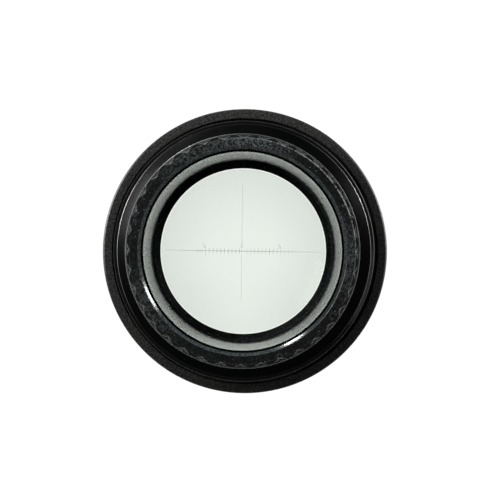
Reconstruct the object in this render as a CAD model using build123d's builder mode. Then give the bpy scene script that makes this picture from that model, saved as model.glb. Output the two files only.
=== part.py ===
from build123d import *

import os
from math import radians, sqrt, tan

# A focusing reticle eyepiece of the 30 mm barrel size, standing on its eyecup, barrel end up.
# The origin is the middle of the eyecup's rim, and +Z is the optical axis towards the barrel end.

# Driving dimensions, in millimetres.
total_height = 56.0
barrel_r = 15.0
insertion = 20.5
body_r = 18.0
grip_r = 20.67
grip_top_z = 20.2
field_stop_r = 11.0
field_plane_depth = 11.4
slide_r = 14.0
lens_r = 12.6
focus_travel = 3.5

# Fits and small clearances.
running = 0.06
seat = 0.02

# Heights and radii that follow from the driving dimensions.
shoulder_z = total_height - insertion
field_z = total_height - field_plane_depth
bore_r = slide_r + running
flange_low_z = 6.0
flange_high_z = 8.3
web_thickness = 1.94
web_low_z = flange_high_z + running
web_high_z = web_low_z + web_thickness
clip_low_z = web_high_z + running
clip_high_z = clip_low_z + 1.0
body_bottom_z = clip_high_z + 0.24
recess_depth = 2.4
recess_floor_z = grip_top_z - recess_depth
recess_r = 19.28


def turn(*outline, arc=360):
    """Turn a closed outline of (radius, height) points about the optical axis."""
    with BuildSketch(Plane.XZ) as section:
        with BuildLine():
            Polyline(*outline, close=True)
        make_face()
    revolve(section.sketch, axis=Axis.Z, revolution_arc=arc)


def tube(inner_r, outer_r, low, high):
    """A plain tube between two heights."""
    turn((inner_r, low), (outer_r, low), (outer_r, high), (inner_r, high))


def sagitta(radius, surface_r):
    """How far a spherical face rises between a lens's edge radius and its middle."""
    return surface_r - sqrt(surface_r**2 - radius**2)


def rise(radius, surface_r):
    """How far a lens's face stands above its own edge at a smaller radius."""
    return sagitta(lens_r, surface_r) - sagitta(radius, surface_r)


def lens(low, high, low_surface_r, high_surface_r, high_side=1):
    """A lens with its edge between two heights. A high_side of -1 makes its upper face hollow."""
    half = lens_r / 2
    low_middle = low - rise(0, low_surface_r)
    low_half = low - rise(half, low_surface_r)
    high_middle = high + high_side * rise(0, high_surface_r)
    high_half = high + high_side * rise(half, high_surface_r)
    with BuildSketch(Plane.XZ) as section:
        with BuildLine():
            Line((0, low_middle), (0, high_middle))
            ThreePointArc((0, high_middle), (half, high_half), (lens_r, high))
            Line((lens_r, high), (lens_r, low))
            ThreePointArc((lens_r, low), (half, low_half), (0, low_middle))
        make_face()
    revolve(section.sketch, axis=Axis.Z)


def radial_plane(angle, height, distance):
    """A plane that faces the axis from a distance, at an angle about it."""
    towards_axis = Plane((0, 0, height), x_dir=(0, 0, 1), z_dir=(-1, 0, 0))
    return towards_axis.rotated((0, 0, angle)).offset(-distance)


def save(builder, name):
    """Label a finished piece and write it under its own name."""
    builder.part.label = name
    export_step(builder.part, f"parts/{name}.step")


os.makedirs("parts", exist_ok=True)


# ================================================================ eye head, the fixed body

# Lens curves: a double convex eye lens and a cemented doublet, hollow where the two meet.
eye_surface_r = 41.4
doublet_top_r = 26.0
cement_r = 32.0
doublet_bottom_r = 150.0

# The lens tube slides in the body and carries the lenses, the eyecup and the focus ring.
tube_bottom_z = 3.6
tube_top_z = 39.5
tube_mouth_r = 13.4
ledge_z = 11.0
ledge_r = 11.5
ledge_thickness = 1.4
edge_break = 0.4
spigot_r = 15.4
bead_r = 14.9
bead_low_z = 4.4
bead_high_z = 5.2
flange_r = 17.4
clip_groove_r = 13.5
lens_bore_r = lens_r + seat
o_ring_r = 0.5
o_ring_z = 37.0
o_ring_mid_r = bore_r - o_ring_r - seat
guide_r = 1.0
guide_z = 16.6
guide_tip_r = 17.6
guide_root_r = 12.95
guide_angles = (90, 270)
driver_slot_width = 0.35
driver_slot_depth = 0.6

with BuildPart() as lens_tube:
    turn(
        (tube_mouth_r, tube_bottom_z),
        (spigot_r, tube_bottom_z),
        (spigot_r, bead_low_z),
        (bead_r, bead_low_z),
        (bead_r, bead_high_z),
        (spigot_r, bead_high_z),
        (spigot_r, flange_low_z),
        (flange_r, flange_low_z),
        (flange_r, flange_high_z),
        (slide_r, flange_high_z),
        (slide_r, clip_low_z),
        (clip_groove_r, clip_low_z),
        (clip_groove_r, clip_high_z),
        (slide_r, clip_high_z),
        (slide_r, o_ring_z - o_ring_r),
        (o_ring_mid_r - o_ring_r, o_ring_z - o_ring_r),
        (o_ring_mid_r - o_ring_r, o_ring_z + o_ring_r),
        (slide_r, o_ring_z + o_ring_r),
        (slide_r, tube_top_z - edge_break),
        (slide_r - edge_break, tube_top_z),
        (lens_bore_r + edge_break, tube_top_z),
        (lens_bore_r, tube_top_z - edge_break),
        (lens_bore_r, ledge_z),
        (ledge_r, ledge_z - rise(ledge_r, eye_surface_r) - seat),
        (ledge_r, ledge_z - ledge_thickness),
    )
    for angle in guide_angles:
        with BuildSketch(radial_plane(angle, guide_z, slide_r + 1)):
            Circle(guide_r)
        extrude(amount=slide_r + 1 - guide_root_r, mode=Mode.SUBTRACT)
save(lens_tube, "lens_tube")

# Two headless screws stand out of the lens tube and run in the body's straight slots.
with BuildPart() as guide_screws:
    for angle in guide_angles:
        with BuildSketch(radial_plane(angle, guide_z, guide_tip_r)):
            Circle(guide_r)
        extrude(amount=guide_tip_r - guide_root_r)
        with BuildSketch(radial_plane(angle, guide_z, guide_tip_r)):
            Rectangle(2 * guide_r + 1, driver_slot_width)
        extrude(amount=driver_slot_depth, mode=Mode.SUBTRACT)
save(guide_screws, "guide_screws")

# The eye lens lies on the tube's ledge, the cemented doublet above it on a spacer tube.
eye_edge = 1.6
flint_edge = 3.86
crown_edge = 1.2
eye_low_z = ledge_z + seat
eye_high_z = eye_low_z + eye_edge
spacer_high_z = 22.6
spacer_r = 11.9
flint_high_z = spacer_high_z + flint_edge
crown_high_z = flint_high_z + crown_edge

with BuildPart() as eye_lens:
    lens(eye_low_z, eye_high_z, eye_surface_r, eye_surface_r)
save(eye_lens, "eye_lens")

# The spacer's bore is grooved against stray light, and its ends fit the lenses' faces.
stray_pitch = 0.9
stray_count = 8
stray_width = 0.6
stray_depth = 0.3

with BuildPart() as lens_spacer_tube:
    turn(
        (lens_r, eye_high_z),
        (lens_r, spacer_high_z),
        (spacer_r, spacer_high_z - rise(spacer_r, doublet_bottom_r) - seat),
        (spacer_r, eye_high_z + rise(spacer_r, eye_surface_r) + seat),
    )
    for ring in range(stray_count):
        low = eye_high_z + (ring + 1) * stray_pitch
        with BuildSketch(Plane.XZ) as groove:
            with BuildLine():
                Polyline(
                    (spacer_r - 0.1, low),
                    (spacer_r + stray_depth, low + stray_width / 2),
                    (spacer_r - 0.1, low + stray_width),
                    close=True,
                )
            make_face()
        revolve(groove.sketch, axis=Axis.Z, mode=Mode.SUBTRACT)
save(lens_spacer_tube, "lens_spacer_tube")

with BuildPart() as doublet_flint:
    lens(spacer_high_z, flint_high_z, doublet_bottom_r, cement_r, high_side=-1)
save(doublet_flint, "doublet_flint")

with BuildPart() as doublet_crown:
    lens(flint_high_z, crown_high_z, cement_r, doublet_top_r)
save(doublet_crown, "doublet_crown")

# A thread ring with two spanner slots holds the lenses down.
lens_ring_high_z = crown_high_z + 2.6
lens_ring_bevel = 0.3
spanner_width = 1.2
spanner_depth = 0.8

with BuildPart() as lens_retaining_ring:
    turn(
        (lens_bore_r, crown_high_z),
        (lens_bore_r, lens_ring_high_z),
        (spacer_r + lens_ring_bevel, lens_ring_high_z),
        (spacer_r, lens_ring_high_z - lens_ring_bevel),
        (spacer_r, crown_high_z + rise(spacer_r, doublet_top_r) + seat),
    )
    with BuildSketch(Plane.XY.offset(lens_ring_high_z - spanner_depth)):
        Rectangle(2 * lens_bore_r + 1, spanner_width)
    extrude(amount=1, mode=Mode.SUBTRACT)
save(lens_retaining_ring, "lens_retaining_ring")

# The circlip keeps the focus ring's web against the lens tube's flange.
clip_r = 16.4
clip_gap = 4.0
clip_eye_angle = 14
clip_eye_r = 0.5

with BuildPart() as focus_circlip:
    tube(clip_groove_r, clip_r, clip_low_z, clip_high_z)
    with BuildSketch(Plane.XY.offset(clip_low_z - 1)):
        with Locations((clip_r, 0)):
            Rectangle(2 * (clip_r - clip_groove_r) + 2, clip_gap)
        for side in (-1, 1):
            with PolarLocations((clip_groove_r + clip_r) / 2, 1, start_angle=side * clip_eye_angle):
                Circle(clip_eye_r)
    extrude(amount=3, mode=Mode.SUBTRACT)
save(focus_circlip, "focus_circlip")

# A soft ring in the lens tube's groove rubs in the body's bore and damps the slide.
with BuildPart() as slide_o_ring:
    with BuildSketch(Plane.XZ):
        with Locations((o_ring_mid_r, o_ring_z)):
            Circle(o_ring_r)
    revolve(axis=Axis.Z)
save(slide_o_ring, "slide_o_ring")

# The rubber eyecup snaps over the tube's spigot and covers its flange.
cup_top_z = 8.0
cup_r = 19.6
cup_waist_r = 18.7
cup_throat_r = 17.0
cup_floor_r = 16.3
cup_floor_z = 3.0

with BuildPart() as eyecup:
    with BuildSketch(Plane.XZ):
        with BuildLine():
            Polyline(
                (cup_throat_r, 0.9),
                (cup_floor_r, cup_floor_z),
                (spigot_r, cup_floor_z + 0.2),
                (spigot_r, bead_low_z),
                (bead_r, bead_low_z),
                (bead_r, bead_high_z),
                (spigot_r, bead_high_z),
                (spigot_r, flange_low_z),
                (flange_r, flange_low_z),
                (flange_r, cup_top_z),
                (cup_r - 0.5, cup_top_z),
            )
            ThreePointArc(
                (cup_r - 0.5, cup_top_z), (cup_r - 0.15, cup_top_z - 0.15), (cup_r, cup_top_z - 0.5)
            )
            Line((cup_r, cup_top_z - 0.5), (cup_r, 5.8))
            ThreePointArc((cup_r, 5.8), (cup_waist_r, 4.0), (18.9, 1.6))
            ThreePointArc((18.9, 1.6), (18.95, 0.45), (18.3, 0))
            Line((18.3, 0), (17.6, 0))
            ThreePointArc((17.6, 0), (17.15, 0.3), (cup_throat_r, 0.9))
        make_face()
    revolve(axis=Axis.Z)
save(eyecup, "eyecup")


# ================================================================ focus ring, which turns

# The threaded nut turns between the flange and the circlip and drives the body up and down.
thread_r = body_r + running
nut_r = 18.9
band_r = 20.3
band_high_z = 10.7
sleeve_seat_r = 20.0
cap_low_z = grip_top_z - 1.0

with BuildPart() as focus_nut:
    turn(
        (bore_r, web_low_z),
        (nut_r, web_low_z),
        (nut_r, recess_floor_z),
        (thread_r + 0.25, recess_floor_z),
        (thread_r, recess_floor_z - 0.25),
        (thread_r, body_bottom_z),
        (clip_r + 0.5, body_bottom_z - 0.2),
        (clip_r + 0.5, web_high_z),
        (bore_r, web_high_z),
    )
save(focus_nut, "focus_nut")

# The outer ring is clamped on the nut by three grub screws in its lower band.
grub_angles = (30, 150, 270)
grub_r = 1.0
grub_z = 9.5
grub_sunk = 0.15
hex_key_r = 0.5
hex_key_depth = 0.9

with BuildPart() as focus_ring:
    turn(
        (nut_r, web_low_z),
        (band_r - 0.3, web_low_z),
        (band_r, web_low_z + 0.3),
        (band_r, band_high_z - 0.1),
        (band_r - 0.1, band_high_z),
        (sleeve_seat_r, band_high_z),
        (sleeve_seat_r, cap_low_z),
        (recess_r, cap_low_z),
        (recess_r, recess_floor_z),
        (nut_r, recess_floor_z),
    )
    for angle in grub_angles:
        with BuildSketch(radial_plane(angle, grub_z, band_r + 1)):
            Circle(grub_r)
        extrude(amount=3, mode=Mode.SUBTRACT)
save(focus_ring, "focus_ring")

with BuildPart() as focus_grub_screws:
    for angle in grub_angles:
        with BuildSketch(radial_plane(angle, grub_z, band_r - grub_sunk)):
            Circle(grub_r)
        extrude(amount=band_r - grub_sunk - nut_r - seat)
        with BuildSketch(radial_plane(angle, grub_z, band_r)):
            RegularPolygon(hex_key_r, 6)
        extrude(amount=hex_key_depth, mode=Mode.SUBTRACT)
save(focus_grub_screws, "focus_grub_screws")

# The grained grip covers the ring's side and top, with shallow finger grooves down its side.
groove_count = 60
groove_r = 0.5
groove_out = 0.25
groove_margin_low = 0.8
groove_margin_high = 1.4

with BuildPart() as grip_sleeve:
    with BuildSketch(Plane.XZ):
        with BuildLine():
            Polyline(
                (grip_r - 0.35, grip_top_z),
                (recess_r + 0.15, grip_top_z),
                (recess_r, grip_top_z - 0.15),
                (recess_r, cap_low_z),
                (sleeve_seat_r, cap_low_z),
                (sleeve_seat_r, band_high_z),
                (grip_r - 0.2, band_high_z),
                (grip_r, band_high_z + 0.2),
                (grip_r, grip_top_z - 0.35),
            )
            ThreePointArc(
                (grip_r, grip_top_z - 0.35),
                (grip_r - 0.1, grip_top_z - 0.1),
                (grip_r - 0.35, grip_top_z),
            )
        make_face()
    revolve(axis=Axis.Z)
    with BuildSketch(Plane.XY.offset(band_high_z + groove_margin_low)):
        with PolarLocations(grip_r + groove_out, groove_count):
            Circle(groove_r)
    extrude(
        amount=grip_top_z - band_high_z - groove_margin_low - groove_margin_high,
        mode=Mode.SUBTRACT,
    )
save(grip_sleeve, "grip_sleeve")


# ================================================================ barrel assembly, which slides

# The body shell runs on the lens tube, threaded outside for the nut. Its shoulder is a shallow cone
# above a narrow chamfer.
cone_top_r = 16.2
cone_foot_r = 17.5
cone_foot_z = shoulder_z - 0.5
chamfer_z = shoulder_z - 0.88
thread_seat_r = 15.7
thread_seat_z = 28.0
slot_play = 0.05
slot_low_z = guide_z - guide_r - focus_travel - slot_play
slot_high_z = guide_z + guide_r + slot_play

with BuildPart() as body_shell:
    turn(
        (bore_r, body_bottom_z + 0.3),
        (bore_r + 0.3, body_bottom_z),
        (body_r - 0.4, body_bottom_z),
        (body_r, body_bottom_z + 0.4),
        (body_r, chamfer_z),
        (cone_foot_r, cone_foot_z),
        (cone_top_r, shoulder_z),
        (thread_seat_r, shoulder_z),
        (thread_seat_r, thread_seat_z),
        (bore_r, thread_seat_z),
    )
    for angle in guide_angles:
        with BuildSketch(radial_plane(angle, (slot_low_z + slot_high_z) / 2, body_r + 1)):
            SlotOverall(slot_high_z - slot_low_z, 2 * (guide_r + running / 2))
        extrude(amount=body_r + 1 - slide_r + 1, mode=Mode.SUBTRACT)
save(body_shell, "body_shell")

# Painted lines on the body's side show how far the ring has drawn it out.
mark_pitch = 0.7
mark_count = int(focus_travel / mark_pitch) + 1
mark_width = 0.12
mark_thickness = 0.05
first_mark_z = grip_top_z + 0.3

with BuildPart() as focus_marks:
    for line in range(mark_count):
        span = 60 if line % 5 == 0 else 30
        with BuildSketch(Plane.XZ.rotated((0, 0, -span / 2))) as section:
            with Locations((body_r + mark_thickness / 2, first_mark_z + line * mark_pitch)):
                Rectangle(mark_thickness, mark_width)
        revolve(section.sketch, axis=Axis.Z, revolution_arc=span)
save(focus_marks, "focus_marks")

# The insertion barrel screws into the shell's shoulder and reaches up to the reticle cell.
cell_stand = 0.6
barrel_end_z = total_height - cell_stand
barrel_bottom_z = thread_seat_z + 0.1
barrel_edge = 0.1

with BuildPart() as insertion_barrel:
    turn(
        (bore_r, barrel_bottom_z),
        (thread_seat_r, barrel_bottom_z),
        (thread_seat_r, shoulder_z),
        (barrel_r, shoulder_z),
        (barrel_r, barrel_end_z - barrel_edge),
        (barrel_r - barrel_edge, barrel_end_z),
        (bore_r, barrel_end_z),
    )
save(insertion_barrel, "insertion_barrel")

# The reticle cell closes the barrel with a bevelled flange, cut into lobes by shallow notches.
lobe_count = 36
lobe_tip_r = 14.82
notch_depth = 0.37
notch_half_angle = 60
notch_reach = notch_depth + 0.2
notch_half_width = notch_reach * tan(radians(notch_half_angle))
cell_bore_r = 12.95
cell_foot_r = 11.7
cell_ledge_z = 42.2
cell_floor = 1.2
glass_thickness = 2.0
glass_low_z = field_z - glass_thickness
lip_r = 13.34
lip_low_r = cell_bore_r + 0.02
lip_drop = 0.22

with BuildPart() as reticle_cell:
    turn(
        (cell_bore_r, cell_ledge_z),
        (cell_foot_r, cell_ledge_z),
        (cell_foot_r, cell_ledge_z - cell_floor),
        (slide_r, cell_ledge_z - cell_floor),
        (slide_r, barrel_end_z),
        (lobe_tip_r, barrel_end_z),
        (lobe_tip_r, total_height - notch_depth),
        (lobe_tip_r - notch_depth, total_height),
        (lip_r, total_height),
        (lip_low_r, total_height - lip_drop),
        (cell_bore_r, total_height - 2 * lip_drop),
    )
    with BuildSketch(Plane.XY.offset(barrel_end_z)):
        with PolarLocations(lobe_tip_r - notch_depth, lobe_count):
            Polygon(
                (0, 0),
                (notch_reach, -notch_half_width),
                (notch_reach, notch_half_width),
                align=None,
            )
    extrude(amount=1, mode=Mode.SUBTRACT)
save(reticle_cell, "reticle_cell")

# A soft cushion under the glass, the glass, the field stop on it and the clamp tube above.
cell_fit_r = cell_bore_r - seat

with BuildPart() as cushion_ring:
    tube(cell_foot_r + 0.1, cell_fit_r, cell_ledge_z, glass_low_z)
save(cushion_ring, "cushion_ring")

with BuildPart() as reticle_glass:
    with BuildSketch(Plane.XY.offset(glass_low_z)):
        Circle(cell_fit_r)
    extrude(amount=field_z - glass_low_z)
save(reticle_glass, "reticle_glass")

# The knife edge that bounds the field lies just above the engraved face.
line_height = 0.03
stop_low_z = field_z + line_height + 0.02
stop_high_z = stop_low_z + 1.0
stop_edge = 0.08

with BuildPart() as field_stop:
    turn(
        (cell_fit_r, field_z),
        (cell_fit_r, stop_high_z),
        (field_stop_r + 0.7, stop_high_z),
        (field_stop_r, stop_low_z + stop_edge),
        (field_stop_r, stop_low_z),
        (field_stop_r + 0.5, stop_low_z),
        (field_stop_r + 0.5, field_z),
    )
save(field_stop, "field_stop")

# The clamp tube's bore opens in two slow cones, and its neck stands clear of the cell.
clamp_bore_r = 11.95
clamp_waist_r = 12.07
clamp_waist_z = total_height - 7.2
clamp_throat_r = 12.47
clamp_throat_z = total_height - 3.6
clamp_mouth_r = 12.68
clamp_top_z = total_height - 0.6
clamp_neck_r = 12.75
clamp_neck_z = stop_high_z + 4.3

with BuildPart() as reticle_clamp_tube:
    turn(
        (cell_fit_r, stop_high_z),
        (cell_fit_r, clamp_neck_z - 0.3),
        (clamp_neck_r, clamp_neck_z),
        (clamp_neck_r, clamp_top_z),
        (clamp_mouth_r, clamp_top_z),
        (clamp_throat_r, clamp_throat_z),
        (clamp_waist_r, clamp_waist_z),
        (clamp_bore_r, stop_high_z),
    )
save(reticle_clamp_tube, "reticle_clamp_tube")

# The engraving: a millimetre scale along X, its divisions and numbers, and one cross line, which
# sits a little to one side and is not centred on the scale.
line_width = 0.05
division = 0.5
scale_half = 10.0
scale_overrun = 0.35
cross_x = -0.2
cross_low_y = -6.5
cross_high_y = 8.8
long_tick = 0.62
short_tick = 0.38

with BuildPart() as reticle_lines:
    with BuildSketch(Plane.XY.offset(field_z)):
        Rectangle(2 * (scale_half + scale_overrun), line_width)
        with Locations((cross_x, (cross_low_y + cross_high_y) / 2)):
            Rectangle(line_width, cross_high_y - cross_low_y)
    extrude(amount=line_height)
save(reticle_lines, "reticle_lines")

with BuildPart() as reticle_ticks:
    for side in (-1, 1):
        for step in range(1, int(scale_half / division) + 1):
            reach = long_tick if step % 10 == 0 else short_tick
            for edge in (-1, 1):
                with BuildSketch(Plane.XY.offset(field_z)):
                    with Locations((side * step * division, edge * (line_width + reach) / 2)):
                        Rectangle(line_width, reach)
                extrude(amount=line_height)
save(reticle_ticks, "reticle_ticks")

numeral_foot_y = 0.46
numeral_height = 0.42
numeral_width = 0.24


def numeral(digit):
    """The strokes of a 0 or a 5, drawn upwards from the middle of its foot."""
    half, height = numeral_width / 2, numeral_height
    if digit == "0":
        ThreePointArc((-half, height / 2), (0, height), (half, height / 2))
        ThreePointArc((-half, height / 2), (0, 0), (half, height / 2))
    if digit == "5":
        Polyline((half, height), (-half, height), (-half, 0.55 * height))
        ThreePointArc((-half, 0.55 * height), (half, 0.3 * height), (-half, 0))


with BuildPart() as reticle_numerals:
    for position, digit in ((-5, "5"), (0, "0"), (5, "5")):
        with BuildSketch(Plane((position + cross_x, numeral_foot_y, field_z))) as strokes:
            with BuildLine():
                numeral(digit)
            trace(line_width=line_width)
        extrude(strokes.sketch, amount=line_height)
save(reticle_numerals, "reticle_numerals")
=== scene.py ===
import math

import bmesh
import bpy
from mathutils import Matrix, Vector


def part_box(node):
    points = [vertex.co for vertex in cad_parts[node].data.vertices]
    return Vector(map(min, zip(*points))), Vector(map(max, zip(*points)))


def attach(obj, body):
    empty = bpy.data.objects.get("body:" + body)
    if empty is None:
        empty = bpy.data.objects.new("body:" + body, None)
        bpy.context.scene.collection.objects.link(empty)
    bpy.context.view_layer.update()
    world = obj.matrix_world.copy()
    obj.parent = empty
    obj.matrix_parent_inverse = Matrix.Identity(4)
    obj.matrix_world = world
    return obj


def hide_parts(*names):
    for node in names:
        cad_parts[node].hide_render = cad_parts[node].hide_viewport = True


# A focusing reticle eyepiece stands on its eyecup on a light table, seen from above its barrel end.
# Lengths are millimetres in the outlines and the materials, and become metres in the meshes.
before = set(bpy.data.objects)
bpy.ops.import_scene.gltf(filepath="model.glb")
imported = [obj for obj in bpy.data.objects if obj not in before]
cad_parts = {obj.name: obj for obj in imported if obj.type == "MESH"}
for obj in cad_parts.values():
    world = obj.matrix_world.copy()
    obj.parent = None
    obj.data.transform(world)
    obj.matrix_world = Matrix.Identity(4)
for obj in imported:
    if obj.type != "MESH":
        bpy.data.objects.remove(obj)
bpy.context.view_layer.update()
MM = 0.001


# ---------------------------------------------------------------- places, from the frame
def span(node):
    """A turned node's lowest height, highest height and outer radius, in millimetres."""
    low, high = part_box(node)
    return low.z / MM, high.z / MM, high.y / MM


CUP_LOW, CUP_HIGH, CUP_R = span("eyecup")
_, _, FLANGE_R = span("lens_tube")
EYE_LOW, EYE_HIGH, LENS_R = span("eye_lens")
FLINT_LOW, FLINT_HIGH, _ = span("doublet_flint")
_, CROWN_HIGH, _ = span("doublet_crown")
GRIP_LOW, GRIP_HIGH, GRIP_R = span("grip_sleeve")
SHELL_LOW, SHELL_HIGH, SHELL_R = span("body_shell")
BARREL_LOW, BARREL_HIGH, THREAD_R = span("insertion_barrel")
CELL_LOW, CELL_HIGH, LOBE_R = span("reticle_cell")
CLAMP_LOW, CLAMP_HIGH, CLAMP_R = span("reticle_clamp_tube")
STOP_LOW, STOP_HIGH, STOP_R = span("field_stop")
GLASS_LOW, GLASS_HIGH, GLASS_R = span("reticle_glass")
GUIDE_LOW, GUIDE_HIGH, _ = span("guide_screws")
GUIDE_R = (GUIDE_HIGH - GUIDE_LOW) / 2
GUIDE_Z = (GUIDE_HIGH + GUIDE_LOW) / 2
TRAVEL = 3.5

# Radii that the nodes' boxes don't give.
BARREL_R = 15.0
SLIDE_R = 14.0
BORE_R = SLIDE_R + 0.06
FIT = 0.02
THREAD_Z = BARREL_LOW - 0.1
FIELD_R = 11.0
RECESS_R = 19.28
SLEEVE_R = 20.02
SPIGOT_R = 15.42
CUP_MOUTH_R = 17.0
CUP_FLOOR_R = 16.3
CUP_WAIST_R = 18.72
CUP_BRIM_R = 18.9
CUP_GRASP = 2.0
CONE_R = 17.5
CONE_TOP_R = 16.2
CELL_BORE_R = CLAMP_R + FIT
CELL_FOOT_R = 11.7
CLAMP_BORE_R = 11.95
CLAMP_THROAT_R = 12.47
CLAMP_WAIST_R = 12.07
CLAMP_MOUTH_R = 12.68
CLAMP_NECK_R = 12.75
LIP_R = 13.34
LOBES = 36
LOBE_CUT = 0.37
LOBE_ROOT_R = LOBE_R - LOBE_CUT
GRIP_GROOVES = 60

# Heights of the shoulder's edges, of the clamp's cone and of the lip.
CONE_Z = SHELL_HIGH - 0.5
CHAMFER_Z = SHELL_HIGH - 0.88
CLAMP_THROAT_Z = CELL_HIGH - 3.6
CLAMP_WAIST_Z = CELL_HIGH - 7.2
CLAMP_NECK_Z = STOP_HIGH + 4.3
LIP_DROP = 0.22


# ---------------------------------------------------------------- mesh helpers
def rounded(outline, steps=6):
    """A closed outline of (radius, height) or (radius, height, fillet), its fillets drawn as arcs."""
    points = []
    count = len(outline)
    for index, corner in enumerate(outline):
        here = Vector(corner[:2])
        fillet = corner[2] if len(corner) > 2 else 0
        if not fillet:
            points.append(here)
            continue
        before = (Vector(outline[index - 1][:2]) - here).normalized()
        after = (Vector(outline[(index + 1) % count][:2]) - here).normalized()
        half = before.angle(after) / 2
        start = here + before * (fillet / math.tan(half))
        end = here + after * (fillet / math.tan(half))
        centre = here + (before + after).normalized() * (fillet / math.sin(half))
        sweep = (start - centre).angle_signed(end - centre)
        for step in range(steps + 1):
            turn = Matrix.Rotation(-sweep * step / steps, 2)
            points.append(centre + turn @ (start - centre))
    return points


def turned_mesh(name, outline, shape=None, segments=360):
    """A closed outline turned about the optical axis. shape may move each point at its angle."""
    points = [Vector(point[:2]) for point in outline]
    count = len(points)
    vertices = []
    for turn in range(segments):
        angle = math.tau * turn / segments
        for point in points:
            r, z = shape(point.x, point.y, angle) if shape else (point.x, point.y)
            vertices.append((r * math.cos(angle) * MM, r * math.sin(angle) * MM, z * MM))
    faces = []
    for turn in range(segments):
        a, b = turn * count, (turn + 1) % segments * count
        for index in range(count):
            after = (index + 1) % count
            faces.append((a + index, b + index, b + after, a + after))
    mesh = bpy.data.meshes.new(name)
    mesh.from_pydata(vertices, [], faces)
    mesh.validate()
    tidy_normals(mesh)
    return mesh


def tidy_normals(mesh):
    """Merge doubled points, such as a lens's pole, and turn every face outwards."""
    work = bmesh.new()
    work.from_mesh(mesh)
    bmesh.ops.remove_doubles(work, verts=work.verts, dist=1e-7)
    bmesh.ops.dissolve_degenerate(work, edges=work.edges, dist=1e-8)
    bmesh.ops.recalc_face_normals(work, faces=work.faces)
    work.to_mesh(mesh)
    work.free()


def lathe(node, name, slot, outline, material, body, sharp=35, **turning):
    """Make a turned piece, smooth it up to an angle, and let it ride on its body in its node's place."""
    mesh = turned_mesh(name, outline, **turning)
    mesh.shade_smooth()
    mesh.set_sharp_from_angle(angle=math.radians(sharp))
    mesh.materials.append(material)
    piece = bpy.data.objects.new(name, mesh)
    bpy.context.collection.objects.link(piece)
    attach(piece, body)
    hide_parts(node)
    return piece


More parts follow.
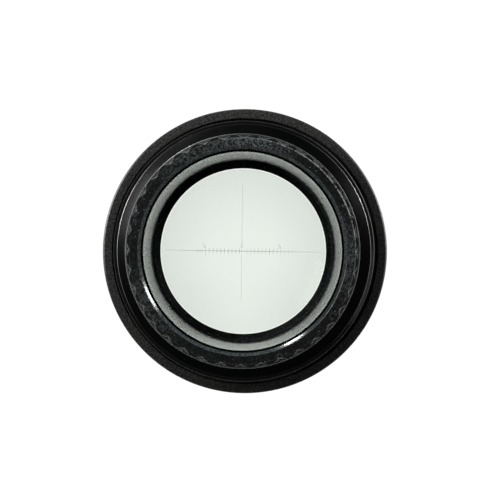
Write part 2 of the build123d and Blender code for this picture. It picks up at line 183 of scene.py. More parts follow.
# ---------------------------------------------------------------- material helpers
class Finish:
    """A material being put together from nodes, with coordinates in millimetres."""

    def __init__(self, name):
        self.material = bpy.data.materials.new(name)
        self.material.use_nodes = True
        self.nodes = self.material.node_tree.nodes
        self.links = self.material.node_tree.links
        self.shader = self.nodes["Principled BSDF"]
        coordinates = self.nodes.new("ShaderNodeTexCoord")
        scaled = self.node("ShaderNodeVectorMath", operation="SCALE", Scale=1 / MM)
        self.links.new(coordinates.outputs["Object"], scaled.inputs[0])
        self.place = scaled.outputs[0]
        parts = self.node("ShaderNodeSeparateXYZ", Vector=self.place)
        self.x, self.y, self.z = parts.outputs
        squares = self.math("ADD", self.times(self.x, self.x), self.times(self.y, self.y))
        self.r = self.math("SQRT", squares)
        self.angle = self.math("ARCTAN2", self.y, self.x)
        normal = self.node("ShaderNodeSeparateXYZ", Vector=coordinates.outputs["Normal"])
        self.upward = self.window(normal.outputs["Z"], 0.62, 0.72)

    def node(self, kind, operation=None, **inputs):
        made = self.nodes.new(kind)
        if operation:
            made.operation = operation
        for name, value in inputs.items():
            self.put(made.inputs[name.replace("_", " ")], value)
        return made

    def put(self, socket, value):
        if isinstance(value, bpy.types.NodeSocket):
            self.links.new(value, socket)
        else:
            socket.default_value = value

    def math(self, operation, a, b=0.0, clamp=False):
        made = self.nodes.new("ShaderNodeMath")
        made.operation = operation
        made.use_clamp = clamp
        self.put(made.inputs[0], a)
        self.put(made.inputs[1], b)
        return made.outputs[0]

    def times(self, *values):
        """The product of several values."""
        total = values[0]
        for value in values[1:]:
            total = self.math("MULTIPLY", total, value)
        return total

    def plus(self, *values):
        """The sum of several masks, kept within 0..1."""
        total = values[0]
        for value in values[1:]:
            total = self.math("ADD", total, value, clamp=True)
        return total

    def window(self, value, low, high):
        """0 at low, 1 at high, smooth between. low may be above high."""
        made = self.nodes.new("ShaderNodeMapRange")
        made.interpolation_type = "SMOOTHSTEP"
        made.inputs["From Min"].default_value = low
        made.inputs["From Max"].default_value = high
        self.put(made.inputs["Value"], value)
        return made.outputs["Result"]

    def near(self, value, middle, half):
        """1 at a middle value, 0 beyond half on either side."""
        away = self.math("ABSOLUTE", self.math("SUBTRACT", value, middle))
        return self.window(away, half, half * 0.4)

    def facing(self, azimuth, half):
        """1 at an azimuth in degrees, 0 beyond half on either side."""
        turned = self.math("SUBTRACT", self.angle, math.radians(azimuth))
        away = self.math("ARCCOSINE", self.math("COSINE", turned))
        return self.window(away, math.radians(half), 0.0)

    def scale_between(self, value, low, high):
        """Takes 0..1 to low..high."""
        made = self.nodes.new("ShaderNodeMapRange")
        made.inputs["To Min"].default_value = low
        made.inputs["To Max"].default_value = high
        self.put(made.inputs["Value"], value)
        return made.outputs["Result"]

    def noise(self, size, detail=3.0, roughness=0.55, place=None):
        """Noise whose features are about size millimetres across."""
        made = self.node("ShaderNodeTexNoise", Vector=place or self.place, Scale=1 / size)
        made.inputs["Detail"].default_value = detail
        made.inputs["Roughness"].default_value = roughness
        return made.outputs["Fac"]

    def cells(self, size, place=None):
        """Voronoi cells of that size: the distance from the middle, and a random number for each."""
        made = self.nodes.new("ShaderNodeTexVoronoi")
        self.links.new(place or self.place, made.inputs["Vector"])
        made.inputs["Scale"].default_value = 1 / size
        chance = self.node("ShaderNodeSeparateColor", Color=made.outputs["Color"])
        return made.outputs["Distance"], chance.outputs[0]

    def chosen(self, chance, share):
        """1 in a share of the cells, chosen by their random numbers."""
        return self.window(chance, 1 - share, 1.02 - share)

    def specks(self, size, radius, share):
        """Dots scattered about size millimetres apart. A share of the cells has one."""
        distance, chance = self.cells(size)
        return self.times(self.window(distance, radius, radius * 0.5), self.chosen(chance, share))

    def rings(self, size, radius, share):
        """Small round marks: a mask for their rims and one for their hollows."""
        distance, chance = self.cells(size)
        chosen = self.chosen(chance, share)
        rim = self.times(self.near(distance, radius, radius * 0.3), chosen)
        hollow = self.times(self.window(distance, radius, radius * 0.5), chosen)
        return rim, hollow

    def lint(self, size, width, share):
        """Short bent fibres."""
        bend = self.noise(1.2, detail=2.0)
        along = self.math("MULTIPLY", self.math("ADD", self.x, self.math("MULTIPLY", bend, 2.0)), 0.22)
        across = self.math("ADD", self.y, self.math("MULTIPLY", bend, 3.0))
        place = self.node("ShaderNodeCombineXYZ", X=along, Y=across, Z=self.z)
        distance, chance = self.cells(size, place=place.outputs[0])
        return self.times(self.window(distance, width, width * 0.5), self.chosen(chance, share))

    def turned(self, pitch, stretch=40.0):
        """Fine lathe lines: noise drawn out round the axis."""
        along = self.times(self.angle, self.math("DIVIDE", self.r, stretch))
        place = self.node("ShaderNodeCombineXYZ", X=along, Y=self.r, Z=self.z)
        return self.noise(pitch, detail=2.0, place=place.outputs[0])

    def blend(self, amount, low, high):
        """A colour between low and high."""
        made = self.nodes.new("ShaderNodeMix")
        made.data_type = "RGBA"
        self.put(made.inputs["Factor"], amount)
        self.put(made.inputs["A"], low)
        self.put(made.inputs["B"], high)
        return made.outputs["Result"]

    def bump(self, height, distance, over=None):
        """Relief of that many millimetres, over another bump's normal if given."""
        made = self.node("ShaderNodeBump", Height=height, Distance=distance * MM)
        if over:
            self.links.new(over, made.inputs["Normal"])
        return made.outputs["Normal"]

    def set(self, **values):
        for name, value in values.items():
            self.put(self.shader.inputs[name.replace("_", " ")], value)
        return self.material

    def set_worn(self, worn, tone, rough, bare=0.5, bare_rough=0.34, **values):
        """Finish the material, with bare metal wherever the worn mask is 1."""
        tone = self.blend(worn, tone, grey(bare))
        coated = self.math("SUBTRACT", 1.0, worn)
        rough = self.math("ADD", self.times(rough, coated), self.times(worn, bare_rough))
        return self.set(Base_Color=tone, Roughness=rough, Metallic=worn, **values)


def grey(value, tint=(1.0, 1.0, 1.0)):
    return (value * tint[0], value * tint[1], value * tint[2], 1.0)


# ---------------------------------------------------------------- materials
COOL = (0.86, 1.0, 1.08)
WARM = (1.04, 1.0, 0.94)
PURPLE = (1.15, 0.9, 1.15)
TEAL = (0.75, 1.05, 1.1)
DUST = (0.85, 1.0, 1.0)
GREENISH = (0.7, 1.0, 0.92)
OLIVE = (1.02, 1.0, 0.86)


def turned_black(name):
    """Black anodised tube: lathe lines, cloudy tone, dust, painted light on its shaded end face, and an
    end worn bright at its rim on the sides facing the lamps.
    """
    f = Finish(name)
    cloud = f.noise(3.0, detail=4.0)
    fine = f.noise(0.25, detail=4.0)
    tone = f.blend(cloud, grey(0.014), grey(0.026, COOL))
    tone = f.blend(f.times(f.specks(0.55, 0.16, 0.08), 0.35), tone, grey(0.16))
    # Painted light: the end face lies in shade under the cell's lobes, so it is painted lighter in
    # patches, less so towards the top.
    at_end = f.window(f.z, BARREL_HIGH - 0.2, BARREL_HIGH - 0.1)
    patchy = f.window(f.noise(0.35, detail=5.0, roughness=0.7), 0.38, 0.62)
    azimuth_window = f.scale_between(f.facing(88, 50), 1.0, 0.25)
    tone = f.blend(f.times(at_end, patchy, azimuth_window), tone, grey(0.19, COOL))
    # The rim's bare metal is kept to the sides facing the lamps, so its shine there is partly painted
    # light.
    rim = f.times(at_end, f.upward, f.window(f.r, BARREL_R - 0.12, BARREL_R - 0.07))
    lamp_side_wear = f.plus(
        0.25,
        f.times(f.facing(-5, 65), 0.8),
        f.times(f.facing(180, 60), 0.4),
        f.times(f.facing(118, 36), 0.9),
    )
    worn = f.times(rim, lamp_side_wear, f.scale_between(f.noise(0.6, detail=4.0), 0.4, 1.2))
    relief = f.bump(fine, 0.002, over=f.bump(f.turned(0.12), 0.004))
    rough = f.scale_between(fine, 0.3, 0.46)
    return f.set_worn(worn, tone, rough, bare=0.62, Specular_IOR_Level=0.4, Normal=relief)


def satin_black(name):
    """The shell's deep satin black, painted lighter and olive on the side facing the lamps, with bright
    worn edges on its shoulder kept to the lamp sides.
    """
    f = Finish(name)
    cloud = f.noise(5.0, detail=4.0)
    # Painted light: the side facing the upper-left lamps is lighter and olive, and the far side is
    # darker and purple.
    lamp_side_tint = f.blend(f.facing(125, 60), grey(0.004, PURPLE), grey(0.008, OLIVE))
    tone = f.blend(f.window(cloud, 0.4, 0.6), grey(0.003, TEAL), lamp_side_tint)
    tone = f.blend(f.times(f.specks(0.8, 0.1, 0.06), 0.6), tone, grey(0.2))
    shoulder = f.window(f.z, CHAMFER_Z - 0.35, CHAMFER_Z - 0.2)
    chamfer = f.times(shoulder, f.window(f.r, CONE_R + 0.02, CONE_R + 0.06))
    tone = f.blend(f.times(chamfer, f.scale_between(f.noise(0.5), 0.6, 1.3)), tone, grey(0.005))
    # The edges' bare metal is kept to the sides facing the lamps, so their shine there is partly painted
    # light.
    crest = f.times(f.near(f.r, CONE_R - 0.02, 0.04), f.plus(f.facing(10, 60), f.facing(170, 50), 0.03))
    brow = f.times(f.near(f.r, SHELL_R - 0.04, 0.05), f.plus(f.times(f.facing(20, 45), 0.6), 0.04))
    worn = f.times(shoulder, f.plus(crest, brow), f.scale_between(f.noise(0.8, detail=4.0), 0.7, 1.2))
    rough = f.scale_between(f.noise(0.4, detail=4.0), 0.18, 0.25)
    relief = f.bump(f.turned(0.12), 0.002)
    look = {"Specular_IOR_Level": 0.25, "Normal": relief}
    return f.set_worn(worn, tone, rough, bare=0.9, bare_rough=0.32, **look)


def blasted_black(name):
    """The cell's face: rough black under drifts of dust, with lint, round marks, and edges rubbed bare
    on the lamp side.
    """
    f = Finish(name)
    coarse = f.window(f.noise(1.3, detail=5.0, roughness=0.65), 0.4, 0.6)
    fine = f.noise(0.26, detail=4.0, roughness=0.7)
    tone = f.blend(coarse, grey(0.001, PURPLE), grey(0.003, TEAL))
    tone = f.blend(f.window(fine, 0.52, 0.6), tone, grey(0.018, COOL))
    tone = f.blend(f.times(f.specks(0.3, 0.3, 0.3), 0.9), tone, grey(0.0005))
    drift = f.window(f.noise(0.26, detail=5.0, roughness=0.75), 0.45, 0.56)
    lying = f.plus(
        f.facing(88, 32),
        f.times(f.facing(-2, 30), 0.5),
        f.times(f.facing(122, 24), 0.45),
        f.times(f.facing(212, 30), 0.4),
        0.03,
    )
    tone = f.blend(f.times(drift, lying), tone, grey(0.19, DUST))
    tone = f.blend(f.times(f.specks(0.34, 0.28, 0.16), 0.85), tone, grey(0.26, DUST))
    tone = f.blend(f.times(f.lint(0.6, 0.12, 0.12), 0.7), tone, grey(0.42))
    rim, hollow = f.rings(1.7, 0.24, 0.2)
    tone = f.blend(f.times(rim, 0.35), tone, grey(0.12, COOL))
    tone = f.blend(f.times(hollow, 0.7), tone, grey(0.003))
    # The lobes: a dark bevel, worn along its inner edge, at the points between lobes and at the rim. The
    # wear on the edge and at the points is kept to the side facing the right-hand lamp, so it is partly
    # painted light.
    bevel = f.window(f.r, LOBE_ROOT_R, LOBE_ROOT_R + 0.06)
    tone = f.blend(f.times(bevel, 0.9), tone, grey(0.003))
    turn = f.math("MULTIPLY", f.angle, LOBES / math.tau)
    off_point = f.math("PINGPONG", turn, 0.5)
    from_crest = f.math("SUBTRACT", 1.0, f.times(off_point, 2.0))
    bulge = f.math("SUBTRACT", 1.0, f.times(from_crest, from_crest))
    rim_r = f.math("ADD", f.times(bulge, LOBE_CUT), LOBE_ROOT_R)
    inside = f.math("SUBTRACT", rim_r, f.r)
    rim_line = f.times(f.window(inside, 0.07, 0.03), f.window(from_crest, 0.3, 0.6))
    point = f.times(f.near(f.r, LOBE_ROOT_R - 0.02, 0.14), f.window(off_point, 0.1, 0.04))
    lamp_side_chips = f.plus(f.facing(38, 34), 0.1)
    edge = f.near(f.r, LOBE_ROOT_R - 0.03, 0.1)
    patchy = f.window(f.noise(0.4, detail=5.0, roughness=0.75), 0.4, 0.58)
    lamp_side_wear = f.plus(f.facing(45, 72), 0.05)
    worn = f.plus(f.times(edge, patchy, lamp_side_wear), f.times(point, lamp_side_chips), f.times(rim_line, 0.6))
    skin = f.bump(fine, 0.05)
    skin = f.bump(f.math("SUBTRACT", 1.0, hollow), 0.06, over=skin)
    rough = f.blend(bevel, f.scale_between(fine, 0.5, 0.8), grey(0.12))
    gloss = f.scale_between(bevel, 0.2, 0.06)
    return f.set_worn(worn, tone, rough, bare=0.6, Specular_IOR_Level=gloss, Normal=skin)


def polished_lip(name):
    """The cell's inner lip, rubbed smooth and greyish, with painted shade on its lower-right side."""
    f = Finish(name)
    patch = f.window(f.noise(0.3, detail=5.0, roughness=0.7), 0.36, 0.66)
    # Painted shade: the lip is darker on its lower-right side.
    shade = f.scale_between(f.facing(332, 36), 1.0, 0.2)
    tone = f.blend(f.times(patch, shade), grey(0.04, DUST), grey(0.17, DUST))
    rough = f.scale_between(f.noise(0.3, detail=4.0), 0.1, 0.17)
    relief = f.bump(f.noise(0.25), 0.006)
    return f.set(Base_Color=tone, Roughness=rough, Specular_IOR_Level=1.0, Normal=relief)


def gloss_bore(name):
    """Gloss black paint in the clamp tube's bore, which mirrors the bright field at a low angle."""
    f = Finish(name)
    tone = f.blend(f.noise(1.5), grey(0.006), grey(0.014, COOL))
    low = f.window(f.z, CLAMP_WAIST_Z + 1.0, CLAMP_WAIST_Z - 0.5)
    powder = f.window(f.noise(0.28, detail=4.0, roughness=0.8), 0.5, 0.66)
    tone = f.blend(f.times(low, powder), tone, grey(0.05, GREENISH))
    tone = f.blend(f.times(low, f.specks(0.34, 0.3, 0.22)), tone, grey(0.16, GREENISH))
    high = f.window(f.z, CLAMP_WAIST_Z, CLAMP_HIGH)
    azimuth_window = f.facing(274, 42)
    rough = f.times(f.scale_between(high, 0.27, 0.14), f.scale_between(azimuth_window, 1.0, 0.66))
    gloss = f.scale_between(azimuth_window, 0.5, 2.4)
    relief = f.bump(f.turned(0.1), 0.0001)
    return f.set(Base_Color=tone, Roughness=rough, Specular_IOR_Level=gloss, Normal=relief)


def optical_black(name):
    """Dead matt black with a green cast and fine powder in it."""
    f = Finish(name)
    powder = f.window(f.noise(0.26, detail=4.0, roughness=0.8), 0.5, 0.68)
    tone = f.blend(powder, grey(0.004, GREENISH), grey(0.06, GREENISH))
    tone = f.blend(f.specks(0.34, 0.3, 0.22), tone, grey(0.18, GREENISH))
    rough = f.scale_between(powder, 0.45, 0.7)
    return f.set(Base_Color=tone, Roughness=rough, Specular_IOR_Level=0.25, Normal=f.bump(powder, 0.01))


def leather_grain(name):
    """Coarse pebbled grain of the grip, dark in its hollows and flecked with dust, painted darker on the
    side away from the lamps, and worn bright at its outer edge on the lamp sides.
    """
    f = Finish(name)
    pebble, _ = f.cells(0.4)
    small = f.noise(0.28, detail=3.0, roughness=0.7)
    height = f.plus(f.times(f.window(pebble, 0.62, 0.1), 0.6), f.times(f.window(small, 0.35, 0.65), 0.4))
    cloud = f.noise(2.5, detail=3.0)
    low = f.blend(f.window(cloud, 0.42, 0.58), grey(0.003, WARM), grey(0.003, PURPLE))
    high = f.blend(f.window(cloud, 0.42, 0.58), grey(0.078, OLIVE), grey(0.078))
    tone = f.blend(f.window(small, 0.4, 0.6), low, high)
    tone = f.blend(f.times(f.specks(0.4, 0.3, 0.2), 0.85), tone, grey(0.2, WARM))
    tone = f.blend(f.times(f.specks(0.4, 0.34, 0.3), 0.9), tone, grey(0.004))
    # Painted shade: the grip's face darkens away from the lamps at the upper left, towards the lower
    # right.
    lit_side = f.scale_between(f.facing(118, 135), 0.55, 0.97)
    tone = f.blend(lit_side, grey(0.006), tone)
    outermost = f.window(f.r, GRIP_R - 0.28, GRIP_R - 0.22)
    top_edge = f.times(outermost, f.window(f.z, GRIP_HIGH - 0.4, GRIP_HIGH - 0.3))
    # The edge's bare metal is kept to the sides facing the lamps, so its shine there is partly painted
    # light.
    lamp_side_wear = f.plus(f.facing(165, 38), f.facing(15, 42), 0.02)
    worn = f.times(top_edge, lamp_side_wear, f.scale_between(f.noise(0.5, detail=3.0), 0.5, 1.0))
    rough = f.scale_between(height, 0.72, 0.48)
    relief = f.bump(height, 0.05)
    look = {"Specular_IOR_Level": 0.45, "Normal": relief}
    return f.set_worn(worn, tone, rough, bare=0.68, bare_rough=0.45, **look)


def soft_rubber(name):
    """Moulded rubber with a dry bloom."""
    f = Finish(name)
    bloom = f.window(f.noise(2.2, detail=5.0, roughness=0.6), 0.35, 0.75)
    fine = f.noise(0.09, detail=4.0, roughness=0.75)
    tone = f.blend(bloom, grey(0.018), grey(0.04, COOL))
    tone = f.blend(f.times(f.specks(0.9, 0.12, 0.1), 0.5), tone, grey(0.2))
    rough = f.scale_between(bloom, 0.5, 0.78)
    return f.set(Base_Color=tone, Roughness=rough, Sheen_Weight=0.08, Normal=f.bump(fine, 0.012))


def brass(name):
    """Turned brass, tarnished in patches."""
    f = Finish(name)
    tarnish = f.window(f.noise(1.4, detail=5.0), 0.35, 0.7)
    tone = f.blend(tarnish, (0.60, 0.44, 0.17, 1.0), (0.34, 0.22, 0.08, 1.0))
    rough = f.scale_between(tarnish, 0.22, 0.42)
    return f.set(Base_Color=tone, Metallic=1.0, Roughness=rough, Normal=f.bump(f.turned(0.08), 0.004))


def steel(name, tone_low, tone_high, roughness):
    """Steel with faint stains, bright or blued."""
    f = Finish(name)
    stain = f.noise(0.7, detail=5.0)
    tone = f.blend(stain, grey(tone_low), grey(tone_high))
    rough = f.scale_between(stain, roughness - 0.08, roughness + 0.1)
    return f.set(Base_Color=tone, Metallic=1.0, Roughness=rough, Normal=f.bump(f.noise(0.08), 0.003))


def coated_glass(name, index, tint, edge=1.0):
    """Coated clear glass with a trace of dust. Its tint darkens towards the edge as painted shade, less
    at the bottom, and clears at the field's rim.
    """
    f = Finish(name)
    rough = f.times(f.specks(1.1, 0.07, 0.1), 0.25)
    # Painted shade: the field darkens towards its edge, less so at the bottom. The glass is lighter and
    # untinted again at the field's rim.
    painted_edge_shade = f.times(f.window(f.r, 2.0, FIELD_R + 1), f.scale_between(f.facing(270, 50), 1.0, 0.4))
    tone = f.blend(painted_edge_shade, grey(1.0, tint), grey(edge, tint))
    tone = f.blend(f.times(f.near(f.r, FIELD_R - 0.02, 0.16), 0.5), tone, grey(1.0))
    f.set(Transmission_Weight=1.0, IOR=index, Specular_Tint=(0.08, 0.1, 0.09, 1.0))
    return f.set(Base_Color=tone, Roughness=rough)


def engraving(name, centre, ends, cross):
    """Filled lines. The fill thins towards the scale's ends and on the cross line, and lets light by."""
    f = Finish(name)
    out = f.math("ABSOLUTE", f.x)
    along = f.scale_between(f.window(out, 1.0, 10.5), centre, ends)
    beside = f.times(f.window(out, 8.0, 4.5), cross)
    off_scale = f.window(f.math("ABSOLUTE", f.y), 0.06, 0.1)
    on_scale = f.math("SUBTRACT", 1.0, off_scale)
    keep = f.plus(f.times(along, on_scale), f.times(off_scale, beside))
    broken = f.times(keep, f.scale_between(f.noise(0.5, detail=4.0), 0.7, 1.3))
    tone = f.blend(f.noise(0.3), grey(0.01), grey(0.03))
    return f.set(Base_Color=tone, Roughness=0.7, Alpha=broken)


def paint(name, value):
    """Paint worn thin in places."""
    f = Finish(name)
    worn = f.window(f.noise(0.25, detail=5.0), 0.3, 0.6)
    tone = f.blend(worn, grey(value * 0.6), grey(value))
    rough = f.scale_between(worn, 0.6, 0.45)
    return f.set(Base_Color=tone, Roughness=rough, Normal=f.bump(f.noise(0.1), 0.01))


BARREL_BLACK = turned_black("black_anodised")
SATIN_BLACK = satin_black("satin_black")
CELL_BLACK = blasted_black("rough_black")
LIP_GREY = polished_lip("gloss_lip")
BORE_BLACK = gloss_bore("bore_black")
MATT_BLACK = optical_black("matt_black")
GRAIN = leather_grain("grained_black")
CUP_RUBBER = soft_rubber("eyecup_rubber")
RING_RUBBER = soft_rubber("soft_rubber")
BRASS = brass("nut_brass")
SPRING = steel("spring_steel", 0.28, 0.42, 0.3)
BLUED = steel("blued_steel", 0.04, 0.1, 0.34)
CROWN_GLASS = coated_glass("crown_glass", 1.52, (0.99, 1.0, 0.99))
FLINT_GLASS = coated_glass("flint_glass", 1.62, (0.99, 1.0, 0.98))
PLATE_GLASS = coated_glass("reticle_glass", 1.5, (0.83, 0.868, 0.845), edge=0.88)
SCALE_INK = engraving("engraving", centre=0.54, ends=0.15, cross=0.13)
TICK_INK = engraving("tick_engraving", centre=0.26, ends=0.05, cross=0.24)
NUMERAL_INK = engraving("numeral_engraving", centre=0.2, ends=0.2, cross=0.2)
WHITE_PAINT = paint("white_paint", 0.8)


# ---------------------------------------------------------------- pieces of the eye head
EYE_SURFACE_R = 41.4
DOUBLET_TOP_R = 26.0
CEMENT_R = 32.0
DOUBLET_BOTTOM_R = 150.0


def drop(surface_r, radius=LENS_R):
    """How far a spherical face falls from its middle out to a radius."""
    return surface_r - math.sqrt(surface_r**2 - radius**2)


def dome(low_edge, high_edge, low_r, high_r, high_side=1, steps=28):
    """A lens's outline: its lower face bulges, and its upper face bulges or is hollow."""
    radii = [LENS_R * step / steps for step in range(steps + 1)]
    high = [(radius, high_edge + high_side * (drop(high_r) - drop(high_r, radius))) for radius in radii]
    low = [(radius, low_edge - drop(low_r) + drop(low_r, radius)) for radius in reversed(radii)]
    return high + low


EYE_BULGE = drop(EYE_SURFACE_R)
LENSES = {
    "eye_lens": (
        dome(EYE_LOW + EYE_BULGE, EYE_HIGH - EYE_BULGE, EYE_SURFACE_R, EYE_SURFACE_R),
        CROWN_GLASS,
    ),
    "doublet_flint": (
        dome(FLINT_LOW + drop(DOUBLET_BOTTOM_R), FLINT_HIGH, DOUBLET_BOTTOM_R, CEMENT_R, high_side=-1),
        FLINT_GLASS,
    ),
    "doublet_crown": (
        dome(FLINT_HIGH + FIT, CROWN_HIGH - drop(DOUBLET_TOP_R), CEMENT_R, DOUBLET_TOP_R),
        CROWN_GLASS,
    ),
}
for node, (outline, glass) in LENSES.items():
    lathe(node, node + "_polished", "optical_glass", outline, glass, "eye_head", sharp=50)

lathe(
    "eyecup",
    "eyecup_moulded",
    "eyecup_rubber",
    rounded(
        [
            (CUP_MOUTH_R, CUP_LOW + 0.9, 0.5),
            (CUP_FLOOR_R, CUP_LOW + 3.0, 0.3),
            (SPIGOT_R, CUP_LOW + 3.2),
            (SPIGOT_R, CUP_HIGH - CUP_GRASP),
            (FLANGE_R + FIT, CUP_HIGH - CUP_GRASP),
            (FLANGE_R + FIT, CUP_HIGH),
            (CUP_R, CUP_HIGH, 0.5),
            (CUP_R, CUP_LOW + 5.9, 1.2),
            (CUP_WAIST_R, CUP_LOW + 4.6, 1.6),
            (CUP_WAIST_R, CUP_LOW + 2.6, 1.6),
            (CUP_BRIM_R + 0.07, CUP_LOW + 1.2, 0.8),
            (CUP_BRIM_R, CUP_LOW, 0.7),
            (CUP_MOUTH_R, CUP_LOW, 0.4),
        ],
        steps=8,
    ),
    CUP_RUBBER,
    "eye_head",
)


# ---------------------------------------------------------------- pieces of the focus ring
GROOVE_DEPTH = 0.26
GROOVE_SHARE = 0.65
GRIP_FALL = 0.06


def grip_shape(r, z, angle):
    """Shallow finger grooves down the grip's side, fading out below its top and above its foot."""
    if r < GRIP_R - 0.4:
        return r, z
    above_foot = min(1.0, max(0.0, (z - GRIP_LOW - 0.6) / 0.5))
    below_top = min(1.0, max(0.0, (GRIP_HIGH - 1.6 - z) / 0.7))
    wave = math.cos(angle * GRIP_GROOVES) - 1 + GROOVE_SHARE
    return r - GROOVE_DEPTH * above_foot * below_top * max(0.0, wave) / GROOVE_SHARE, z


SIDE_STEPS = 14
SIDE_LOW, SIDE_HIGH = GRIP_LOW + 0.4, GRIP_HIGH - 0.8
SIDE_RISE = (SIDE_HIGH - SIDE_LOW) / SIDE_STEPS
grip_side = [(GRIP_R, SIDE_LOW + SIDE_RISE * step) for step in range(SIDE_STEPS + 1)]
lathe(
    "grip_sleeve",
    "grip_grained",
    "grained_black",
    rounded(
        [
            (SLEEVE_R, GRIP_HIGH - 1.0),
            (SLEEVE_R, GRIP_LOW),
            (GRIP_R, GRIP_LOW, 0.2),
            *grip_side,
            (GRIP_R, GRIP_HIGH - GRIP_FALL, 0.22),
            (RECESS_R, GRIP_HIGH, 0.12),
            (RECESS_R, GRIP_HIGH - 1.0),
        ]
    ),
    GRAIN,
    "focus_ring",
    shape=grip_shape,
    segments=960,
)


# ---------------------------------------------------------------- pieces of the barrel
shell = lathe(
    "body_shell",
    "body_shell_turned",
    "satin_black",
    rounded(
        [
            (BORE_R, SHELL_LOW, 0.3),
            (SHELL_R, SHELL_LOW, 0.4),
            (SHELL_R, CHAMFER_Z, 0.05),
            (CONE_R, CONE_Z, 0.045),
            (CONE_TOP_R, SHELL_HIGH, 0.12),
            (THREAD_R, SHELL_HIGH),
            (THREAD_R, THREAD_Z),
            (BORE_R, THREAD_Z),
        ]
    ),
    SATIN_BLACK,
    "barrel",
    segments=540,
)


def slot_cutter(side):
    """A round-ended bar through the shell's wall, where a guide screw runs."""
    low, high = GUIDE_Z - TRAVEL, GUIDE_Z
    ends = 24
    rim = []
    for step in range(ends + 1):
        lean = math.pi * step / ends
        rim.append((GUIDE_R * math.cos(lean), high + GUIDE_R * math.sin(lean)))
    for step in range(ends + 1):
        lean = math.pi * (1 + step / ends)
        rim.append((GUIDE_R * math.cos(lean), low + GUIDE_R * math.sin(lean)))
    near, far = side * (SLIDE_R - 1), side * (SHELL_R + 1)
    vertices = [(x * MM, y * MM, z * MM) for y in (near, far) for x, z in rim]
    count = len(rim)
    faces = [tuple(range(count)), tuple(range(2 * count - 1, count - 1, -1))]
    faces += [(a, a + count, (a + 1) % count + count, (a + 1) % count) for a in range(count)]
    mesh = bpy.data.meshes.new("slot_cutter")
    mesh.from_pydata(vertices, [], faces)
    tidy_normals(mesh)
    cutter = bpy.data.objects.new("slot_cutter", mesh)
    bpy.context.collection.objects.link(cutter)
    return cutter


def cut(piece, cutters):
    """Cut each cutter's shape out of a piece's mesh for good."""
    for cutter in cutters:
        trim = piece.modifiers.new("cut", "BOOLEAN")
        trim.operation, trim.solver, trim.object = "DIFFERENCE", "EXACT", cutter
    shaped = piece.evaluated_get(bpy.context.evaluated_depsgraph_get())
    piece.data = bpy.data.meshes.new_from_object(shaped)
    piece.modifiers.clear()
    for cutter in cutters:
        bpy.data.objects.remove(cutter)


cut(shell, [slot_cutter(1), slot_cutter(-1)])

lathe(
    "insertion_barrel",
    "insertion_barrel_turned",
    "black_anodised",
    rounded(
        [
            (BORE_R, BARREL_LOW),
            (THREAD_R, BARREL_LOW),
            (THREAD_R, SHELL_HIGH - FIT),
            (BARREL_R, SHELL_HIGH - FIT),
            (BARREL_R, BARREL_HIGH, 0.06),
            (BORE_R, BARREL_HIGH),
        ]
    ),
    BARREL_BLACK,
    "barrel",
    segments=540,
)

BEVEL_DROP = 0.36
BEVEL_TOP_R = LOBE_ROOT_R - 0.03


def lobed(r, z, angle):
    """Bevelled lobes round the cell's flange: each bulges outwards between two pointed notches."""
    if r <= BEVEL_TOP_R or z < BARREL_HIGH:
        return r, z
    from_crest = abs((angle * LOBES / math.tau) % 1.0 - 0.5) * 2
    rim_r = LOBE_ROOT_R + LOBE_CUT * (1 - from_crest**2)
    reach = (rim_r - BEVEL_TOP_R) / (LOBE_R - BEVEL_TOP_R)
    lower = z if z < BARREL_HIGH + 0.1 else CELL_HIGH - (CELL_HIGH - z) * reach
    return BEVEL_TOP_R + (r - BEVEL_TOP_R) * reach, lower


cell = lathe(
    "reticle_cell",
    "reticle_cell_lobed",
    "rough_black",
    rounded(
        [
            (CELL_BORE_R, CELL_LOW + 1.2),
            (CELL_FOOT_R, CELL_LOW + 1.2),
            (CELL_FOOT_R, CELL_LOW),
            (SLIDE_R, CELL_LOW),
            (SLIDE_R, BARREL_HIGH + 0.01),
            (LOBE_R, BARREL_HIGH + 0.01),
            (LOBE_R, CELL_HIGH - BEVEL_DROP, 0.05),
            (BEVEL_TOP_R, CELL_HIGH),
            (LIP_R, CELL_HIGH, 0.1),
            (CELL_BORE_R + FIT, CELL_HIGH - LIP_DROP, 0.05),
            (CELL_BORE_R, CELL_HIGH - 2 * LIP_DROP),
        ]
    ),
    CELL_BLACK,
    "barrel",
    shape=lobed,
    segments=LOBES * 24,
)
cell.data.materials.append(LIP_GREY)
for face in cell.data.polygons:
    if math.hypot(face.center.x, face.center.y) < (LIP_R + 0.06) * MM:
        face.material_index = 1

lathe(
    "reticle_clamp_tube",
    "reticle_clamp_tube_polished",
    "bore_black",
    rounded(
        [
            (CLAMP_R, CLAMP_LOW),
            (CLAMP_R, CLAMP_NECK_Z - 0.3),
            (CLAMP_NECK_R, CLAMP_NECK_Z),
            (CLAMP_NECK_R, CLAMP_HIGH, 0.02),
            (CLAMP_MOUTH_R, CLAMP_HIGH, 0.02),
            (CLAMP_THROAT_R, CLAMP_THROAT_Z, 30.0),
            (CLAMP_WAIST_R, CLAMP_WAIST_Z, 24.0),
            (CLAMP_BORE_R, CLAMP_LOW),
        ],
        steps=12,
    ),
    BORE_BLACK,
    "barrel",
)

lathe(
    "field_stop",
    "field_stop_blacked",
    "matt_black",
    rounded(
        [
            (STOP_R, STOP_LOW),
            (STOP_R, STOP_HIGH),
            (FIELD_R + 0.7, STOP_HIGH, 0.1),
            (FIELD_R, STOP_LOW + 0.13),
            (FIELD_R, STOP_LOW + 0.05),
            (FIELD_R + 0.5, STOP_LOW + 0.05),
            (FIELD_R + 0.5, STOP_LOW),
        ]
    ),
    MATT_BLACK,
    "barrel",
)

lathe(
    "reticle_glass",
    "reticle_glass_polished",
    "reticle_glass",
    rounded(
        [
            (0, GLASS_LOW),
            (GLASS_R, GLASS_LOW, 0.1),
            (GLASS_R, GLASS_HIGH, 0.05),
            (0, GLASS_HIGH),
        ]
    ),
    PLATE_GLASS,
    "barrel",
)


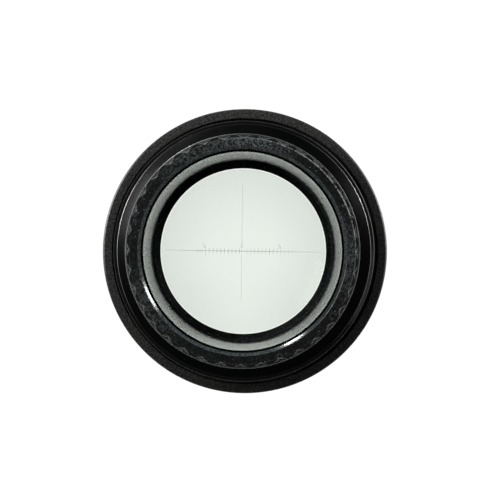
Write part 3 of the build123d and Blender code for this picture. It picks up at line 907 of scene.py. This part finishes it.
# ---------------------------------------------------------------- CAD nodes that stay
STAYING = {
    "lens_tube": BARREL_BLACK,
    "guide_screws": BLUED,
    "lens_spacer_tube": MATT_BLACK,
    "lens_retaining_ring": MATT_BLACK,
    "focus_circlip": SPRING,
    "slide_o_ring": RING_RUBBER,
    "focus_nut": BRASS,
    "focus_ring": BARREL_BLACK,
    "focus_grub_screws": BLUED,
    "focus_marks": WHITE_PAINT,
    "cushion_ring": RING_RUBBER,
    "reticle_lines": SCALE_INK,
    "reticle_ticks": TICK_INK,
    "reticle_numerals": NUMERAL_INK,
}
for node, material in STAYING.items():
    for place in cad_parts[node].material_slots:
        place.link = "OBJECT"
        place.material = material


# ---------------------------------------------------------------- light table, lamps and camera
def glow(name, colour, strength):
    """An even light source, seen from in front only."""
    material = bpy.data.materials.new(name)
    material.use_nodes = True
    nodes, links = material.node_tree.nodes, material.node_tree.links
    nodes.remove(nodes["Principled BSDF"])
    light = nodes.new("ShaderNodeEmission")
    light.inputs["Color"].default_value = colour
    light.inputs["Strength"].default_value = strength
    clear = nodes.new("ShaderNodeBsdfTransparent")
    side = nodes.new("ShaderNodeNewGeometry")
    mix = nodes.new("ShaderNodeMixShader")
    links.new(side.outputs["Backfacing"], mix.inputs["Fac"])
    links.new(light.outputs[0], mix.inputs[1])
    links.new(clear.outputs[0], mix.inputs[2])
    links.new(mix.outputs[0], nodes["Material Output"].inputs["Surface"])
    return material


TABLE_HALF = 1.5
TABLE_DROP = 0.0002
TABLE_GLOW = 1.03
table_mesh = bpy.data.meshes.new("light_table")
corners = [Vector((x * TABLE_HALF, y * TABLE_HALF, 0)) for x, y in ((-1, -1), (1, -1), (1, 1), (-1, 1))]
table_mesh.from_pydata(corners, [], [(0, 1, 2, 3)])
table = bpy.data.objects.new("light_table", table_mesh)
table.location.z = -TABLE_DROP
bpy.context.collection.objects.link(table)
table_mesh.materials.append(glow("light_table", (1.0, 1.0, 0.995, 1.0), TABLE_GLOW))


def softbox(name, azimuth, elevation, width, height, radiance, distance=0.7):
    """A rectangular lamp that faces the eyepiece, at a compass angle and a height above the table."""
    lamp = bpy.data.objects.new(name, bpy.data.lights.new(name, "AREA"))
    lamp.data.shape = "RECTANGLE"
    lamp.data.size, lamp.data.size_y = width, height
    lamp.data.energy = radiance * math.pi * width * height
    turn, lift = math.radians(azimuth), math.radians(elevation)
    aim = Vector((0, 0, 0.04))
    way = Vector((math.cos(turn) * math.cos(lift), math.sin(turn) * math.cos(lift), math.sin(lift)))
    lamp.location = aim + way * distance
    lamp.rotation_euler = (-way).to_track_quat("-Z", "Y").to_euler()
    bpy.context.collection.objects.link(lamp)


softbox("lamp_left", azimuth=156, elevation=53, width=0.24, height=0.18, radiance=11.5)
softbox("lamp_right", azimuth=27, elevation=31, width=0.13, height=0.12, radiance=18)
softbox("lamp_low", azimuth=345, elevation=13, width=0.4, height=0.14, radiance=1.2)
softbox("lamp_back", azimuth=121, elevation=29, width=0.1, height=0.09, radiance=36)

# The room is dim, and the paper behind the eyepiece is white.
world = bpy.data.worlds.new("studio")
bpy.context.scene.world = world
world.use_nodes = True
sky = world.node_tree.nodes["Background"]
seen = world.node_tree.nodes.new("ShaderNodeLightPath")
tone = world.node_tree.nodes.new("ShaderNodeMix")
tone.data_type = "RGBA"
tone.inputs["A"].default_value = grey(0.03)
tone.inputs["B"].default_value = grey(0.95)
world.node_tree.links.new(seen.outputs["Is Camera Ray"], tone.inputs["Factor"])
world.node_tree.links.new(tone.outputs["Result"], sky.inputs["Color"])

# The camera stands close above the barrel, a little to the right of the axis.
CAMERA_HEIGHT = 250.0
CAMERA_RIGHT = 2.45
FOCAL_PIXELS = 1966.7
FRAME_PIXELS = 500
ROLL = 0.8
AIM_RIGHT, AIM_UP = 0.748, 0.179
camera = bpy.data.objects.new("camera", bpy.data.cameras.new("camera"))
bpy.context.collection.objects.link(camera)
camera.data.lens = camera.data.sensor_width * FOCAL_PIXELS / FRAME_PIXELS
camera.data.clip_start, camera.data.clip_end = 0.01, 20
camera.location = Vector((CAMERA_RIGHT, 0, CELL_HIGH + CAMERA_HEIGHT)) * MM
target = Vector((AIM_RIGHT, AIM_UP, GRIP_HIGH)) * MM
back = (camera.location - target).normalized()
up = Matrix.Rotation(math.radians(ROLL), 3, "Z") @ Vector((0, 1, 0))
right = up.cross(back).normalized()
camera.rotation_mode = "QUATERNION"
camera.rotation_quaternion = Matrix((right, back.cross(right), back)).transposed().to_quaternion()
bpy.context.scene.camera = camera
bpy.context.scene.view_settings.view_transform = "Standard"
